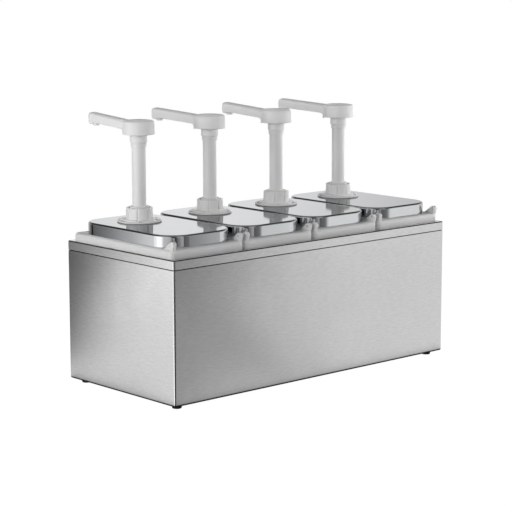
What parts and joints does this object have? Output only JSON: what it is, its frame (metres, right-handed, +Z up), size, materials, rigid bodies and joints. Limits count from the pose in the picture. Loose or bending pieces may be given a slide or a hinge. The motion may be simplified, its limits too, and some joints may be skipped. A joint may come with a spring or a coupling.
{
  "type": "sauce dispenser",
  "caption": "Counter-top sauce dispenser: a steel housing holds a row of lift-out plastic jars, each with a polished lift-off lid and a push-down pump with a swivelling spout.",
  "frame": {"origin": "middle of the footprint on the surface that the feet stand on, spouts included", "axes": "+X along the row of jars, +Y the way the spouts point, towards the server, +Z up"},
  "size_m": [0.436, 0.2126, 0.3168],
  "materials": {
    "brushed_sheet": "brushed",
    "polished_sheet": "mirror polished",
    "white_plastic": "satin",
    "natural_plastic": "matt translucent",
    "seal_rubber": "matt",
    "spring_wire": "drawn wire",
    "ball_steel": "polished"
  },
  "bodies": {
    "housing": {"outer_shell": "brushed_sheet", "base_plate": "brushed_sheet", "top_frame": "brushed_sheet", "feet": "seal_rubber"},
    "jar_1": {"jar_1": "white_plastic"},
    "lid_1": {"lid_1": "polished_sheet", "mounting_flange_1": "white_plastic", "locking_collar_1": "white_plastic", "cylinder_1": "natural_plastic", "inlet_tube_1": "natural_plastic", "inlet_ball_1": "ball_steel", "return_spring_1": "spring_wire"},
    "plunger_1": {"plunger_tube_1": "white_plastic", "piston_1": "natural_plastic", "piston_seal_1": "seal_rubber", "outlet_ball_1": "ball_steel"},
    "head_1": {"pump_head_1": "white_plastic"},
    "jar_2": {"jar_2": "white_plastic"},
    "lid_2": {"lid_2": "polished_sheet", "mounting_flange_2": "white_plastic", "locking_collar_2": "white_plastic", "cylinder_2": "natural_plastic", "inlet_tube_2": "natural_plastic", "inlet_ball_2": "ball_steel", "return_spring_2": "spring_wire"},
    "plunger_2": {"plunger_tube_2": "white_plastic", "piston_2": "natural_plastic", "piston_seal_2": "seal_rubber", "outlet_ball_2": "ball_steel"},
    "head_2": {"pump_head_2": "white_plastic"},
    "jar_3": {"jar_3": "white_plastic"},
    "lid_3": {"lid_3": "polished_sheet", "mounting_flange_3": "white_plastic", "locking_collar_3": "white_plastic", "cylinder_3": "natural_plastic", "inlet_tube_3": "natural_plastic", "inlet_ball_3": "ball_steel", "return_spring_3": "spring_wire"},
    "plunger_3": {"plunger_tube_3": "white_plastic", "piston_3": "natural_plastic", "piston_seal_3": "seal_rubber", "outlet_ball_3": "ball_steel"},
    "head_3": {"pump_head_3": "white_plastic"},
    "jar_4": {"jar_4": "white_plastic"},
    "lid_4": {"lid_4": "polished_sheet", "mounting_flange_4": "white_plastic", "locking_collar_4": "white_plastic", "cylinder_4": "natural_plastic", "inlet_tube_4": "natural_plastic", "inlet_ball_4": "ball_steel", "return_spring_4": "spring_wire"},
    "plunger_4": {"plunger_tube_4": "white_plastic", "piston_4": "natural_plastic", "piston_seal_4": "seal_rubber", "outlet_ball_4": "ball_steel"},
    "head_4": {"pump_head_4": "white_plastic"}
  },
  "joints": [
    {"name": "jar_lift_1", "type": "slide", "parent": "housing", "child": "jar_1", "axis": [0, 0, 1], "range_m": [0, 0.16]},
    {"name": "lid_lift_1", "type": "slide", "parent": "jar_1", "child": "lid_1", "axis": [0, 0, 1], "range_m": [0, 0.17]},
    {"name": "plunger_stroke_1", "type": "slide", "parent": "lid_1", "child": "plunger_1", "axis": [0, 0, -1], "range_m": [0, 0.066], "stiffness_N_per_m": 230, "springref_m": -0.02, "deforming": ["return_spring_1"]},
    {"name": "head_swivel_1", "type": "hinge", "parent": "plunger_1", "child": "head_1", "pos_m": [-0.16155, 0.02469, 0.29], "axis": [0, 0, 1], "continuous": true},
    {"name": "jar_lift_2", "type": "slide", "parent": "housing", "child": "jar_2", "axis": [0, 0, 1], "range_m": [0, 0.16]},
    {"name": "lid_lift_2", "type": "slide", "parent": "jar_2", "child": "lid_2", "axis": [0, 0, 1], "range_m": [0, 0.17]},
    {"name": "plunger_stroke_2", "type": "slide", "parent": "lid_2", "child": "plunger_2", "axis": [0, 0, -1], "range_m": [0, 0.066], "stiffness_N_per_m": 230, "springref_m": -0.02, "deforming": ["return_spring_2"]},
    {"name": "head_swivel_2", "type": "hinge", "parent": "plunger_2", "child": "head_2", "pos_m": [-0.05385, 0.02469, 0.29], "axis": [0, 0, 1], "continuous": true},
    {"name": "jar_lift_3", "type": "slide", "parent": "housing", "child": "jar_3", "axis": [0, 0, 1], "range_m": [0, 0.16]},
    {"name": "lid_lift_3", "type": "slide", "parent": "jar_3", "child": "lid_3", "axis": [0, 0, 1], "range_m": [0, 0.17]},
    {"name": "plunger_stroke_3", "type": "slide", "parent": "lid_3", "child": "plunger_3", "axis": [0, 0, -1], "range_m": [0, 0.066], "stiffness_N_per_m": 230, "springref_m": -0.02, "deforming": ["return_spring_3"]},
    {"name": "head_swivel_3", "type": "hinge", "parent": "plunger_3", "child": "head_3", "pos_m": [0.05385, 0.02469, 0.29], "axis": [0, 0, 1], "continuous": true},
    {"name": "jar_lift_4", "type": "slide", "parent": "housing", "child": "jar_4", "axis": [0, 0, 1], "range_m": [0, 0.16]},
    {"name": "lid_lift_4", "type": "slide", "parent": "jar_4", "child": "lid_4", "axis": [0, 0, 1], "range_m": [0, 0.17]},
    {"name": "plunger_stroke_4", "type": "slide", "parent": "lid_4", "child": "plunger_4", "axis": [0, 0, -1], "range_m": [0, 0.066], "stiffness_N_per_m": 230, "springref_m": -0.02, "deforming": ["return_spring_4"]},
    {"name": "head_swivel_4", "type": "hinge", "parent": "plunger_4", "child": "head_4", "pos_m": [0.16155, 0.02469, 0.29], "axis": [0, 0, 1], "continuous": true}
  ]
}
